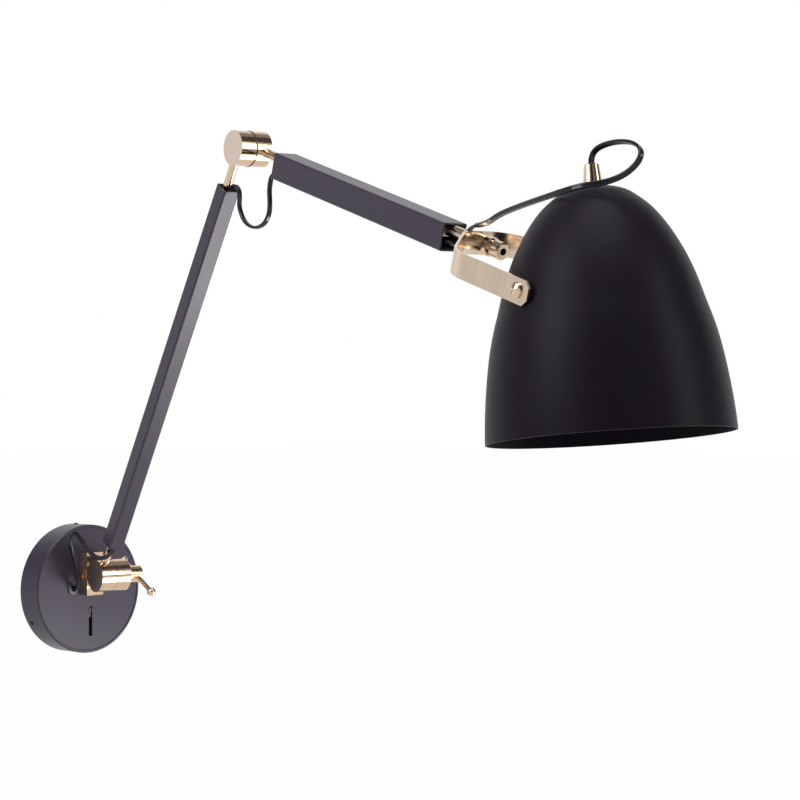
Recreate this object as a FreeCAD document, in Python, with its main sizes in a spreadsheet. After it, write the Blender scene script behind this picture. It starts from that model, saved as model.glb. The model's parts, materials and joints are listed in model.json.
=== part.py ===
import FreeCAD
import Part
import Sketcher
import math
import os

# Adjustable wall lamp with two square arms: a round canopy, a turning hinge with a clamp
# screw, an elbow hinge, a strap yoke on a hollow stem and a bell shade.
# Row frame: origin at the centre of the canopy's back on the wall, +Z up, the room at -Y.

os.makedirs("parts", exist_ok=True)
V = FreeCAD.Vector
doc = FreeCAD.newDocument("WallLamp")
sheet = doc.addObject("Spreadsheet::Sheet", "Sizes")

sizes = {
    "canopy_dia": 120, "canopy_deep": 26, "canopy_wall": 1.5, "rim_bead": 2.4, "face_sunk": 0.8,
    "inlet_dia": 10, "inlet_x": -18.5, "inlet_up": 1.5,
    "slot_wide": 4.2, "slot_long": 28, "slot_x": 2, "slot_up": -30.5,
    "plate_dia": 104, "plate_thick": 2, "plate_hole": 26, "wall_slot_pitch": 70,
    "wall_slot_long": 14, "wall_slot_wide": 5, "set_screw_dia": 4,
    "block_wide": 19, "block_deep": 9.5, "block_tall": 40, "block_up": 14.6, "block_screw_gap": 24,
    "turn_pin_dia": 5, "pin_front": 31, "fit_gap": 0.05,
    "hinge_side": 4.2, "hinge_out": 24.5, "hinge_dia": 30, "half_long": 15, "half_gap": 0.15,
    "tongue_thick": 9, "eye_dia": 9.2, "shank_dia": 8, "shank_reach": 11,
    "head_dia": 15.6, "head_long": 17.4, "bar_at": 12.6, "bar_dia": 4.4, "bar_front": 33, "bar_rear": 25, "ball_dia": 8,
    "rod_dia": 8, "low_tube": 15, "low_bore": 12.6, "low_x": -7.2,
    "low_start": 36, "low_end": 410, "low_arm": 448,
    "high_tube": 22, "high_bore": 19.6, "high_x": 9, "high_drop": 4.6,
    "high_start": 45, "high_end": 290, "high_arm": 467.6, "washer_thick": 1.1, "washer_dia": 30.6,
    "plug_long": 24, "stem_dia": 10, "stem_bore": 5.5,
    "strap_thick": 1.8, "strap_wide": 18, "strap_back": 142.6, "leg_x": 74.3, "leg_past": 12.5,
    "strap_flat": 17, "leg_bend": 78, "pivot_dia": 5,
    "shade_wall": 1.2, "grip_base": 13.6, "grip_top": 10.6, "grip_tall": 17, "cord_dia": 4.4,
}
angles = {"yaw": -9.7, "low_lean": 32.7, "high_tilt": 106.6, "shade_tilt": -6.4, "bar_angle": 26.0}
for row, (name, value) in enumerate(list(sizes.items()) + list(angles.items()), start=1):
    sheet.set("A%d" % row, name)
    sheet.set("B%d" % row, str(value))
    sheet.setAlias("B%d" % row, name)
doc.recompute()
S = {name: float(sheet.get(name)) for name in list(sizes) + list(angles)}
parts = []


# ---------- helpers ----------
def ref(text):
    """Turn alias names in a formula into references to the sheet."""
    words = sorted(list(sizes) + list(angles), key=len, reverse=True)
    out, i = "", 0
    while i < len(text):
        for word in words:
            before = out[-1:] if out else " "
            if text.startswith(word, i) and not (before.isalnum() or before == "_"):
                out += "Sizes." + word
                i += len(word)
                break
        else:
            out += text[i]
            i += 1
    return out


def value(text):
    """The number that a formula gives with the sheet's present values."""
    if isinstance(text, (int, float)):
        return float(text)
    total, term, sign = 0.0, "", 1
    for mark in text.replace("-", "+-").split("+"):
        term = mark.strip()
        if not term:
            continue
        sign = -1 if term.startswith("-") else 1
        product = 1.0
        for k, factor in enumerate(term.lstrip("-").replace("/", "*/").split("*")):
            factor = factor.strip()
            number = factor.lstrip("/").strip()
            n = S[number] if number in S else float(number)
            product = product / n if factor.startswith("/") else product * n
        total += sign * product
    return total


def keep(obj, label, place):
    obj.Label = label
    obj.Placement = place.multiply(obj.Placement)
    parts.append(obj)
    return obj


def body(name):
    return doc.addObject("PartDesign::Body", "Body_" + name)


def plane_of(bod, role):
    return [f for f in bod.Origin.OriginFeatures if f.Role == role][0]


def sketch(bod, name, role="XY_Plane", lift=None):
    sk = bod.newObject("Sketcher::SketchObject", name)
    sk.AttachmentSupport = [(plane_of(bod, role), "")]
    sk.MapMode = "FlatFace"
    if lift is not None:
        sk.setExpression(".AttachmentOffset.Base.z", ref(str(lift)))
    return sk


def bind(sk, kind, *args):
    """Add a constraint whose last argument is a formula on the sheet."""
    formula = args[-1]
    index = sk.addConstraint(Sketcher.Constraint(kind, *args[:-1], value(formula)))
    if not isinstance(formula, (int, float)):
        sk.setExpression("Constraints[%d]" % index, ref(formula))
    return index


def polygon(sk, points):
    """A closed outline; every corner is placed by two driven distances."""
    xy = [V(value(x), value(y), 0) for x, y in points]
    first = sk.GeometryCount
    for k in range(len(xy)):
        sk.addGeometry(Part.LineSegment(xy[k], xy[(k + 1) % len(xy)]), False)
    for k in range(len(xy)):
        here, after = first + k, first + (k + 1) % len(xy)
        sk.addConstraint(Sketcher.Constraint("Coincident", here, 2, after, 1))
    for k, (x, y) in enumerate(points):
        bind(sk, "DistanceX", -1, 1, first + k, 1, x)
        bind(sk, "DistanceY", -1, 1, first + k, 1, y)


def circle(sk, x, y, dia):
    n = sk.addGeometry(Part.Circle(V(value(x), value(y), 0), V(0, 0, 1), value(dia) / 2), False)
    bind(sk, "Diameter", n, dia)
    bind(sk, "DistanceX", -1, 1, n, 3, x)
    bind(sk, "DistanceY", -1, 1, n, 3, y)


def slot(sk, x, y, long, wide):
    """A slot with round ends along the sketch's first axis."""
    half = value("%s/2-%s/2" % (long, wide))
    radius = value(wide) / 2
    cx, cy = value(x), value(y)
    for way in (-1, 1):
        sk.addGeometry(Part.LineSegment(V(cx - way * half, cy - way * radius, 0),
                                        V(cx + way * half, cy - way * radius, 0)), False)
        turn = math.pi / 2 * way
        bow = Part.Circle(V(cx + way * half, cy, 0), V(0, 0, 1), radius)
        n = sk.addGeometry(Part.ArcOfCircle(bow, -turn, math.pi - turn), False)
        bind(sk, "Radius", n, wide + "/2")


def square(sk, x, y, wide, tall):
    polygon(sk, [("%s-%s/2" % (x, wide), "%s-%s/2" % (y, tall)), ("%s+%s/2" % (x, wide), "%s-%s/2" % (y, tall)),
                 ("%s+%s/2" % (x, wide), "%s+%s/2" % (y, tall)), ("%s-%s/2" % (x, wide), "%s+%s/2" % (y, tall))])


def pad(bod, sk, length, name, both=False, back=False):
    p = bod.newObject("PartDesign::Pad", name)
    p.Profile = sk
    p.setExpression("Length", ref(length)) if not isinstance(length, (int, float)) else setattr(p, "Length", length)
    p.Midplane = both
    p.Reversed = back
    return p


def cut_through(bod, sk, name):
    p = bod.newObject("PartDesign::Pocket", name)
    p.Profile = sk
    p.Type = "ThroughAll"
    p.Midplane = True
    return p


def turned(bod, name, points, axis="V_Axis", role="XY_Plane"):
    sk = sketch(bod, name + "_outline", role)
    polygon(sk, points)
    r = bod.newObject("PartDesign::Revolution", name)
    r.Profile = sk
    r.ReferenceAxis = (sk, [axis])
    r.Angle = 360
    return r


def cylinder(name, dia, length, base=(0, 0, 0), axis=(0, 0, 1)):
    c = doc.addObject("Part::Cylinder", name)
    c.setExpression("Radius", ref("%s/2" % dia)) if not isinstance(dia, (int, float)) else setattr(c, "Radius", dia / 2)
    c.setExpression("Height", ref(length)) if not isinstance(length, (int, float)) else setattr(c, "Height", length)
    c.Placement = FreeCAD.Placement(V(*base), FreeCAD.Rotation(V(0, 0, 1), V(*axis)))
    return c


def box(name, sx, sy, sz, base):
    b = doc.addObject("Part::Box", name)
    for prop, size in (("Length", sx), ("Width", sy), ("Height", sz)):
        b.setExpression(prop, ref(size)) if not isinstance(size, (int, float)) else setattr(b, prop, size)
    b.Placement.Base = V(*base)
    return b


def joined(name, *items):
    f = doc.addObject("Part::MultiFuse", name)
    f.Shapes = list(items)
    return f


def less(name, a, b):
    c = doc.addObject("Part::Cut", name)
    c.Base = a
    c.Tool = b
    return c


def shaped(name, shape):
    f = doc.addObject("Part::Feature", name)
    f.Shape = shape
    return f


def frame_at(x=0, y=0, z=0, turn_x=0, turn_z=0):
    spin = FreeCAD.Rotation(V(0, 0, 1), turn_z).multiply(FreeCAD.Rotation(V(1, 0, 0), turn_x))
    return FreeCAD.Placement(V(x, y, z), spin)


# ---------- frames of the moving groups ----------
TURN = frame_at(0, -S["pin_front"], S["block_up"], turn_z=S["yaw"])
HINGE = TURN.multiply(frame_at(S["hinge_side"], -S["hinge_out"], 0))
LOW = HINGE.multiply(frame_at(turn_x=S["low_lean"]))
ELBOW = HINGE.multiply(FreeCAD.Placement(FreeCAD.Rotation(V(1, 0, 0), S["low_lean"]).multVec(V(0, 0, S["low_arm"])),
                                         FreeCAD.Rotation()))
HIGH = ELBOW.multiply(frame_at(turn_x=S["high_tilt"]))
ARM_AXIS = HIGH.multiply(frame_at(S["high_x"], 0, 0))
PIVOT = FreeCAD.Placement(ARM_AXIS.multVec(V(0, 0, S["high_arm"])), TURN.Rotation)
YOKE = ARM_AXIS.multiply(frame_at(0, 0, S["high_arm"]))
SHADE = PIVOT.multiply(frame_at(turn_x=S["shade_tilt"]))

# ---------- canopy ----------
canopy = body("canopy")
turned(canopy, "Canopy_dish", [
    ("canopy_dia/2", 0), ("canopy_dia/2", "-canopy_deep+1.2"), ("canopy_dia/2-1.2", "-canopy_deep"),
    ("canopy_dia/2-rim_bead", "-canopy_deep"), ("canopy_dia/2-rim_bead-0.6", "-canopy_deep+face_sunk"),
    (0, "-canopy_deep+face_sunk"), (0, "-canopy_deep+face_sunk+canopy_wall"),
    ("canopy_dia/2-rim_bead-0.6", "-canopy_deep+face_sunk+canopy_wall"),
    ("canopy_dia/2-canopy_wall", "-canopy_deep+face_sunk+canopy_wall+1.5"), ("canopy_dia/2-canopy_wall", 0)])
face_holes = sketch(canopy, "Face_openings", "XZ_Plane")
circle(face_holes, "inlet_x", "inlet_up", "inlet_dia")
square(face_holes, "slot_x", "slot_up", "slot_wide", "slot_long")
for side in ("-", "+"):
    circle(face_holes, 0, "block_up%sblock_screw_gap/2" % side, 4.4)
cut_through(canopy, face_holes, "Face_cuts")
side_hole = canopy.newObject("PartDesign::SubtractiveCylinder", "Side_hole")
side_hole.setExpression("Radius", ref("set_screw_dia/2"))
side_hole.Height = 12
SET_SCREW_UP = -6.0
side_hole.Placement.Base = V(0, SET_SCREW_UP, 50)
spread = canopy.newObject("PartDesign::PolarPattern", "Side_holes")
spread.Originals = [side_hole]
spread.Axis = (plane_of(canopy, "Y_Axis"), [""])
spread.Angle = 360
spread.Occurrences = 3
canopy.Tip = spread
keep(canopy, "canopy_shell", frame_at())
SCREW_SPOKES = (30, 150, 270)

plate = body("plate")
ring = sketch(plate, "Plate_outline", "XZ_Plane")
circle(ring, 0, 0, "plate_dia")
circle(ring, 0, 0, "plate_hole")
for side in ("-", "+"):
    slot(ring, "%swall_slot_pitch/2" % side, 0, "wall_slot_long", "wall_slot_wide")
pad(plate, ring, "plate_thick", "Plate_sheet")
doc.recompute()
TAB_IN, TAB_OUT, TAB_HALF, TAB_DEEP = 53.5, 55.5, 6.0, 11.0
tab = sketch(plate, "Tab_outline", "XZ_Plane")
polygon(tab, [(-TAB_HALF, TAB_IN - 4), (TAB_HALF, TAB_IN - 4), (TAB_HALF, TAB_OUT), (-TAB_HALF, TAB_OUT)])
tab_pad = pad(plate, tab, "plate_thick", "Tab_foot")
lip = sketch(plate, "Lip_outline", "XZ_Plane")
polygon(lip, [(-TAB_HALF, TAB_IN), (TAB_HALF, TAB_IN), (TAB_HALF, TAB_OUT), (-TAB_HALF, TAB_OUT)])
lip_pad = pad(plate, lip, TAB_DEEP, "Tab_lip")
tabs = plate.newObject("PartDesign::PolarPattern", "Tabs")
tabs.Originals = [tab_pad, lip_pad]
tabs.Axis = (plane_of(plate, "Y_Axis"), [""])
tabs.Angle = 360
tabs.Occurrences = 3
plate.Tip = tabs
doc.recompute()
lip_hole = plate.newObject("PartDesign::SubtractiveCylinder", "Lip_hole")
lip_hole.setExpression("Radius", ref("set_screw_dia/2"))
lip_hole.Height = 12
lip_hole.Placement.Base = V(0, SET_SCREW_UP, 50)
lip_holes = plate.newObject("PartDesign::PolarPattern", "Lip_holes")
lip_holes.Originals = [lip_hole]
lip_holes.Axis = (plane_of(plate, "Y_Axis"), [""])
lip_holes.Angle = 360
lip_holes.Occurrences = 3
plate.Tip = lip_holes
doc.recompute()
keep(plate, "wall_plate", frame_at())


def spoke_screws():
    solids = []
    radius = S["set_screw_dia"] / 2 - S["fit_gap"]
    for angle in SCREW_SPOKES:
        shank = Part.makeCylinder(radius, 8.2, V(52.6, SET_SCREW_UP, 0), V(1, 0, 0))
        slot = Part.makeBox(1.2, 0.9, 2 * radius, V(60.2, SET_SCREW_UP - 0.45, -radius))
        screw = shank.cut(slot)
        screw.rotate(V(0, 0, 0), V(0, 1, 0), angle)
        solids.append(screw)
    return Part.Compound(solids)


keep(shaped("SetScrews", spoke_screws()), "canopy_set_screws", frame_at())

FACE_BACK = -S["canopy_deep"] + S["face_sunk"] + S["canopy_wall"]
FACE_FRONT = -S["canopy_deep"] + S["face_sunk"]
bush = body("bush")
turned(bush, "Bush", [("cord_dia/2+0.1", 0), ("inlet_dia/2", 0), ("inlet_dia/2", "canopy_wall"),
                      ("inlet_dia/2+1.4", "canopy_wall"), ("inlet_dia/2+1.0", "canopy_wall+1.4"),
                      ("cord_dia/2+1.0", "canopy_wall+1.8"), ("cord_dia/2+0.1", "canopy_wall+1.2")])
keep(bush, "cord_inlet_bush", FreeCAD.Placement(V(S["inlet_x"], FACE_BACK, S["inlet_up"]),
                                                FreeCAD.Rotation(V(1, 0, 0), 180)))

# ---------- slide switch behind the slot ----------
SWITCH_DEEP, SWITCH_WIDE, SWITCH_LONG = 10.0, 13.0, 34.0
case = box("SwitchCase", SWITCH_WIDE, SWITCH_DEEP, SWITCH_LONG,
           (S["slot_x"] - SWITCH_WIDE / 2, FACE_BACK, S["slot_up"] - SWITCH_LONG / 2))
SLOT_ROOM = 3.4
hollow = box("SwitchTrack", "slot_wide", SLOT_ROOM, "slot_long-1",
             (S["slot_x"] - S["slot_wide"] / 2, FACE_BACK, S["slot_up"] - S["slot_long"] / 2 + 0.5))
keep(less("SwitchBody", case, hollow), "switch_case", frame_at())
KEY_WIDE, KEY_LONG = 3.6, 9.0
KEY_TOP = S["slot_up"] + S["slot_long"] / 2 - 1.2
key_foot = box("KeyFoot", KEY_WIDE, 3.2, KEY_LONG, (S["slot_x"] - KEY_WIDE / 2, FACE_BACK, KEY_TOP - KEY_LONG))
key_nub = box("KeyNub", 2.6, 1.4, 3.0, (S["slot_x"] - 1.3, FACE_BACK - 1.3, KEY_TOP - 4.0))
keep(joined("SwitchKey", key_foot, key_nub), "switch_slider", frame_at())

# ---------- wiring held inside the canopy ----------
TERM_X, TERM_Z = -30.0, -26.0
term = box("TermBlock", 20, 13, 12, (TERM_X - 10, -S["plate_thick"] - 13, TERM_Z - 6))
bores = joined("TermBores", cylinder("TermBoreA", 3.4, 14, (TERM_X - 5, -8.5, TERM_Z - 7)),
               cylinder("TermBoreB", 3.4, 14, (TERM_X + 5, -8.5, TERM_Z - 7)))
keep(less("Terminal", term, bores), "terminal_block", frame_at())

# ---------- brass block that carries the turning pin ----------
block = body("block")
front = sketch(block, "Block_front", "XZ_Plane")
square(front, 0, 0, "block_wide", "block_tall")
pad(block, front, "block_deep", "Block_pad")
doc.recompute()
gap = sketch(block, "Block_gap", "YZ_Plane")
polygon(gap, [("-block_deep-1", "-tongue_thick/2-0.1"), (-1.2, "-tongue_thick/2-0.1"),
              (-1.2, "tongue_thick/2+0.1"), ("-block_deep-1", "tongue_thick/2+0.1")])
cut_through(block, gap, "Block_jaws")
pin_bore = sketch(block, "Pin_bore", "XY_Plane")
circle(pin_bore, 0, "-pin_front+canopy_deep-face_sunk", "turn_pin_dia")
cut_through(block, pin_bore, "Pin_bore_cut")
doc.recompute()
screw_bores = sketch(block, "Screw_bores", "XZ_Plane")
for side in ("-", "+"):
    circle(screw_bores, 0, "%sblock_screw_gap/2" % side, 3.2)
blind = block.newObject("PartDesign::Pocket", "Screw_bores_cut")
blind.Profile = screw_bores
blind.Length = 2.4
blind.Reversed = True
doc.recompute()
keep(block, "mounting_block", frame_at(0, FACE_FRONT, S["block_up"]))


def block_screws():
    solids = []
    for side in (-1, 1):
        up = S["block_up"] + side * S["block_screw_gap"] / 2
        shank = Part.makeCylinder(1.55, 5.0, V(0, FACE_FRONT + 2.6, up), V(0, -1, 0))
        head = Part.makeCylinder(3.6, 2.2, V(0, FACE_BACK, up), V(0, 1, 0))
        drive = Part.makeBox(5.0, 1.0, 0.9, V(-2.5, FACE_BACK + 1.3, up - 0.45))
        solids.append(shank.fuse(head).cut(drive).removeSplitter())
    return Part.Compound(solids)


keep(shaped("BlockScrews", block_screws()), "block_screws", frame_at())
keep(cylinder("TurnPin", "turn_pin_dia", "block_tall-0.6"), "turn_pin",
     frame_at(0, -S["pin_front"], S["block_up"] - S["block_tall"] / 2 + 0.3))

# ---------- fixed half of the lower hinge, with its tongue ----------
fixed = body("fixed")
wheel = sketch(fixed, "Half_outline", "YZ_Plane", "half_gap")
circle(wheel, 0, 0, "hinge_dia")
pad(fixed, wheel, "half_long-half_gap", "Half_pad")
tongue = sketch(fixed, "Tongue_outline", "XY_Plane")
polygon(tongue, [(1.6, 9), (1.6, 16.5), (-7.3, 21.2), (-8.7, 24.0), (-7.2, 27.9), (-4.2, 29.1), (-1.1, 27.9),
                 (11, 17), (11, 9)])
pad(fixed, tongue, "tongue_thick", "Tongue_pad", both=True)
doc.recompute()
eye = sketch(fixed, "Eye_bore", "XY_Plane")
circle(eye, "-hinge_side", "hinge_out", "turn_pin_dia+2*fit_gap")
cut_through(fixed, eye, "Eye_bore_cut")
shank_bore = sketch(fixed, "Shank_bore", "YZ_Plane")
circle(shank_bore, 0, 0, "shank_dia+2*fit_gap")
cut_through(fixed, shank_bore, "Shank_bore_cut")
doc.recompute()
keep(fixed, "lower_hinge_fixed_half", HINGE)


# ---------- halves of the hinges that carry a rod ----------
def rod_half(name, label, place, x_from, x_to, rod_x, rod_y, socket_from, bore_from, bore_to, bore_dia):
    """A cylinder across x with a socket for the rod along z and a blind bore for the bolt."""
    across = (1, 0, 0)
    disc = cylinder(name + "Disc", "hinge_dia", x_to - x_from, (x_from, 0, 0), across)
    socket = cylinder(name + "Socket", "rod_dia", "hinge_dia", (rod_x, rod_y, socket_from))
    bore = cylinder(name + "Bore", bore_dia, bore_to - bore_from, (bore_from, 0, 0), across)
    half = less(name, disc, joined(name + "Holes", socket, bore))
    return keep(half, label, place)


LOW_Y = -0.5
ROD_Y = 1.7
SOCKET_FROM = 6.5
RUNNING = S["shank_dia"] + 2 * S["fit_gap"]
rod_half("LowHalf", "lower_hinge_arm_half", LOW, -S["half_long"], -S["half_gap"], S["low_x"], ROD_Y,
         SOCKET_FROM, -S["shank_reach"] - 0.5, 1, RUNNING)
AT_ELBOW = LOW.multiply(frame_at(0, 0, S["low_arm"]))
NEAR_FACE = -S["washer_thick"] / 2 - 0.1
rod_half("NearHalf", "elbow_near_half", AT_ELBOW.multiply(frame_at(turn_x=180)), -S["half_long"], NEAR_FACE,
         S["low_x"], -ROD_Y, SOCKET_FROM, -S["shank_reach"], 1, "shank_dia")
rod_half("FarHalf", "elbow_far_half", HIGH, S["washer_thick"] / 2, S["half_long"], S["high_x"], 0,
         SOCKET_FROM, -1, S["shank_reach"] + 1, RUNNING)
keep(cylinder("ElbowBolt", "shank_dia", 2 * S["shank_reach"] + 0.5, (-S["shank_reach"], 0, 0), (1, 0, 0)),
     "elbow_bolt", AT_ELBOW)
disc = cylinder("WasherDisc", "washer_dia", "washer_thick", (-S["washer_thick"] / 2, 0, 0), (1, 0, 0))
eyelet = cylinder("WasherHole", RUNNING, 4, (-2, 0, 0), (1, 0, 0))
keep(less("Washer", disc, eyelet), "elbow_washer", HIGH)

# ---------- clamp screw with its tommy bar ----------
HEAD_FROM = S["half_long"]
BAR_X = HEAD_FROM + S["bar_at"]
head = body("clamp")
turned(head, "Clamp_turning", [
    ("-shank_reach", 0), ("-shank_reach", "shank_dia/2-0.8"), ("-shank_reach+0.8", "shank_dia/2"),
    ("half_long", "shank_dia/2"), ("half_long", "head_dia/2"), ("half_long+head_long-1.2", "head_dia/2"),
    ("half_long+head_long", "head_dia/2-1.2"), ("half_long+head_long", 0)], axis="H_Axis")
doc.recompute()
cross = sketch(head, "Bar_hole", "XY_Plane")
circle(cross, "half_long+bar_at", 0, "bar_dia")
cut_through(head, cross, "Bar_hole_cut")
doc.recompute()
CLAMP = HINGE.multiply(frame_at(turn_x=S["bar_angle"] - 90))
keep(head, "clamp_screw", CLAMP)
keep(cylinder("Bar", "bar_dia", "bar_front+bar_rear", (BAR_X, 0, -S["bar_front"])), "tommy_bar", CLAMP)


def bar_balls():
    solids = []
    length = S["bar_front"] + S["bar_rear"]
    socket = Part.makeCylinder(S["bar_dia"] / 2, length, V(BAR_X, 0, -S["bar_front"]))
    for end in (-S["bar_front"] - 0.5, S["bar_rear"] + 0.5):
        ball = Part.makeSphere(S["ball_dia"] / 2, V(BAR_X, 0, end))
        solids.append(ball.cut(socket))
    return Part.Compound(solids)


keep(shaped("Balls", bar_balls()), "tommy_bar_balls", CLAMP)


# ---------- square tubes with rounded edges ----------
def square_tube(name, label, place, x, y, side, bore, z_from, z_to):
    tube = body(name)
    outline = sketch(tube, name + "_section", "XY_Plane", z_from)
    square(outline, x, y, side, side)
    solid = pad(tube, outline, "%s-%s" % (z_to, z_from), name + "_pad")
    doc.recompute()
    length = value("%s-%s" % (z_to, z_from))
    long_edges = ["Edge%d" % (k + 1) for k, e in enumerate(solid.Shape.Edges) if abs(e.Length - length) < 0.01]
    corners = tube.newObject("PartDesign::Fillet", name + "_corners")
    corners.Base = (solid, long_edges)
    corners.Radius = 1.6
    doc.recompute()
    inside = sketch(tube, name + "_inside", "XY_Plane", z_from)
    square(inside, x, y, bore, bore)
    cut_through(tube, inside, name + "_bore")
    doc.recompute()
    return keep(tube, label, place)


square_tube("LowTube", "lower_arm_tube", LOW, "low_x", LOW_Y, "low_tube", "low_bore", "low_start", "low_end")
square_tube("HighTube", "upper_arm_tube", HIGH, "high_x", "-high_drop", "high_tube", "high_bore",
                        "high_start", "high_end")
LOW_IN = S["low_bore"] / 2
HIGH_IN = S["high_bore"] / 2
PLUG_SET_BACK, FRONT_SET_BACK = 3.0, 9.0


def plug(name, label, place, x, y_from, y_to, half_wide, z_from, rod_y, rod_dia):
    """A block that fills part of a tube beside the cord's channel, bored for its rod."""
    blank = box(name + "Blank", 2 * half_wide, y_to - y_from, "plug_long", (x - half_wide, y_from, z_from))
    bore = cylinder(name + "Bore", rod_dia, "plug_long+2", (x, rod_y, z_from - 1))
    return keep(less(name, blank, bore), label, place)


LOW_TOP = LOW_Y + LOW_IN
LOW_PLUG_Z = (S["low_start"] + PLUG_SET_BACK, S["low_end"] - PLUG_SET_BACK - S["plug_long"])
plug("PlugA", "lower_arm_plug_bottom", LOW, S["low_x"], -2.9, LOW_TOP, LOW_IN, LOW_PLUG_Z[0], ROD_Y, "rod_dia")
plug("PlugB", "lower_arm_plug_top", LOW, S["low_x"], -2.9, LOW_TOP, LOW_IN, LOW_PLUG_Z[1], ROD_Y, "rod_dia")
HIGH_TOP = -S["high_drop"] + HIGH_IN
HIGH_PLUG_Z = (S["high_start"] + PLUG_SET_BACK, S["high_end"] - FRONT_SET_BACK - S["plug_long"])
plug("PlugC", "upper_arm_plug_rear", HIGH, S["high_x"], -6.0, HIGH_TOP, HIGH_IN, HIGH_PLUG_Z[0], 0, "rod_dia")
plug("PlugD", "upper_arm_plug_front", HIGH, S["high_x"], -6.0, HIGH_TOP, HIGH_IN, HIGH_PLUG_Z[1], 0, "stem_dia")

low_rod_end = LOW_PLUG_Z[0] + S["plug_long"]
keep(cylinder("RodA", "rod_dia", low_rod_end - SOCKET_FROM, (S["low_x"], ROD_Y, SOCKET_FROM)),
     "lower_arm_rod_bottom", LOW)
keep(cylinder("RodB", "rod_dia", S["low_arm"] - SOCKET_FROM - LOW_PLUG_Z[1], (S["low_x"], ROD_Y, LOW_PLUG_Z[1])),
     "lower_arm_rod_top", LOW)
keep(cylinder("RodC", "rod_dia", HIGH_PLUG_Z[0] + S["plug_long"] - SOCKET_FROM, (S["high_x"], 0, SOCKET_FROM)),
     "upper_arm_rod", HIGH)


def fixing_screw(base, axis, reach):
    """A small pan head screw through a tube wall into the plug; base is on the wall's face."""
    inward = V(*axis)
    shank = Part.makeCylinder(1.2, reach, V(*base), inward)
    crown = Part.makeCylinder(2.3, 1.0, V(*base), inward.negative())
    across = V(0, 0, 1)
    drive = Part.makeBox(0.6, 0.6, 3.4, V(-0.3, -0.3, -1.7))
    drive.Placement.Base = V(*base) + inward * -1.0
    return shank.fuse(crown).cut(drive).removeSplitter()


LOW_FACE = S["low_x"] + S["low_tube"] / 2
low_screws = [fixing_screw((LOW_FACE, ROD_Y, z + S["plug_long"] / 2), (-1, 0, 0), 3.3) for z in LOW_PLUG_Z]
HIGH_FACE = S["high_x"] + S["high_tube"] / 2
high_screws = [fixing_screw((HIGH_FACE, -1.0, z + S["plug_long"] / 2), (-1, 0, 0), 4.6) for z in HIGH_PLUG_Z]


def drill(obj, name, screws):
    """Take the screws' shanks out of the tube or plug that they pass."""
    tool = shaped(name + "Tool", Part.Compound(screws))
    tool.Placement = obj.Placement
    cut = less(name, obj, tool)
    label = obj.Label
    obj.Label = label + "_blank"
    cut.Label = label
    parts[parts.index(obj)] = cut


keep(shaped("LowScrews", Part.Compound(low_screws)), "lower_arm_screws", LOW)
keep(shaped("HighScrews", Part.Compound(high_screws)), "upper_arm_screws", HIGH)
for label, screws in (("lower_arm_tube", low_screws), ("lower_arm_plug_bottom", low_screws[:1]),
                      ("lower_arm_plug_top", low_screws[1:]), ("upper_arm_tube", high_screws),
                      ("upper_arm_plug_rear", high_screws[:1]), ("upper_arm_plug_front", high_screws[1:])):
    owner = [p for p in parts if p.Label == label][0]
    drill(owner, "Drilled_" + label, screws)

# ---------- hollow stem and what is on it ----------
STRAP_AT = S["high_arm"] - S["strap_back"]
STEM_FROM, STEM_TO = HIGH_PLUG_Z[1], S["high_arm"] - 117
stem = less("Stem", cylinder("StemRod", "stem_dia", STEM_TO - STEM_FROM, (S["high_x"], 0, STEM_FROM)),
            cylinder("StemBore", "stem_bore", STEM_TO - STEM_FROM + 2, (S["high_x"], 0, STEM_FROM - 1)))
keep(stem, "yoke_stem", HIGH)
HALF_STRAP = S["strap_thick"] / 2


def stem_ring(name, label, dia, z_from, length):
    ring = less(name, cylinder(name + "Disc", dia, length, (S["high_x"], 0, z_from)),
                cylinder(name + "Hole", "stem_dia", length + 2, (S["high_x"], 0, z_from - 1)))
    return keep(ring, label, HIGH)


stem_ring("Shoulder", "stem_shoulder_ring", 12.6, STRAP_AT - HALF_STRAP - 1.6, 1.5)
COLLAR_FROM = STRAP_AT + HALF_STRAP + 0.1
stem_ring("Collar", "stem_collar", 12.4, COLLAR_FROM, 7.5)
NUT_FROM, NUT_LONG, NUT_FLATS = COLLAR_FROM + 7.5, 5.5, 14.0


def hexagon(flats, length, base, axis):
    nut = Part.Face(Part.makePolygon([V(flats / math.sqrt(3) * math.cos(math.radians(60 * k)),
                                        flats / math.sqrt(3) * math.sin(math.radians(60 * k)), 0)
                                      for k in range(7)])).extrude(V(0, 0, length))
    nut = nut.common(Part.makeCylinder(flats / 2 * 1.1, length))
    nut.Placement = FreeCAD.Placement(V(*base), FreeCAD.Rotation(V(0, 0, 1), V(*axis)))
    return nut


nut = hexagon(NUT_FLATS, NUT_LONG, (S["high_x"], 0, NUT_FROM), (0, 0, 1))
nut = nut.cut(Part.makeCylinder(S["stem_dia"] / 2, NUT_LONG + 2, V(S["high_x"], 0, NUT_FROM - 1)))
keep(shaped("StemNut", nut), "stem_nut", HIGH)
cap = body("endcap")
turned(cap, "Cap_turning", [
    ("stem_bore/2", 2.0), ("stem_bore/2", 0), ("stem_dia/2+0.6", 0), ("stem_dia/2+1.8", -1.2), ("stem_dia/2+1.8", -9),
    ("stem_dia/2", -9), ("stem_dia/2", -2.0), ("stem_bore/2", -2.0)][1:], axis="V_Axis", role="XZ_Plane")
keep(cap, "stem_end_cap", HIGH.multiply(frame_at(S["high_x"], 0, STEM_TO + 2.0)))

# ---------- strap yoke ----------
LEG_X, BACK, BEND, FLAT, PAST = S["leg_x"], -S["strap_back"], -S["leg_bend"], S["strap_flat"], S["leg_past"]


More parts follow.
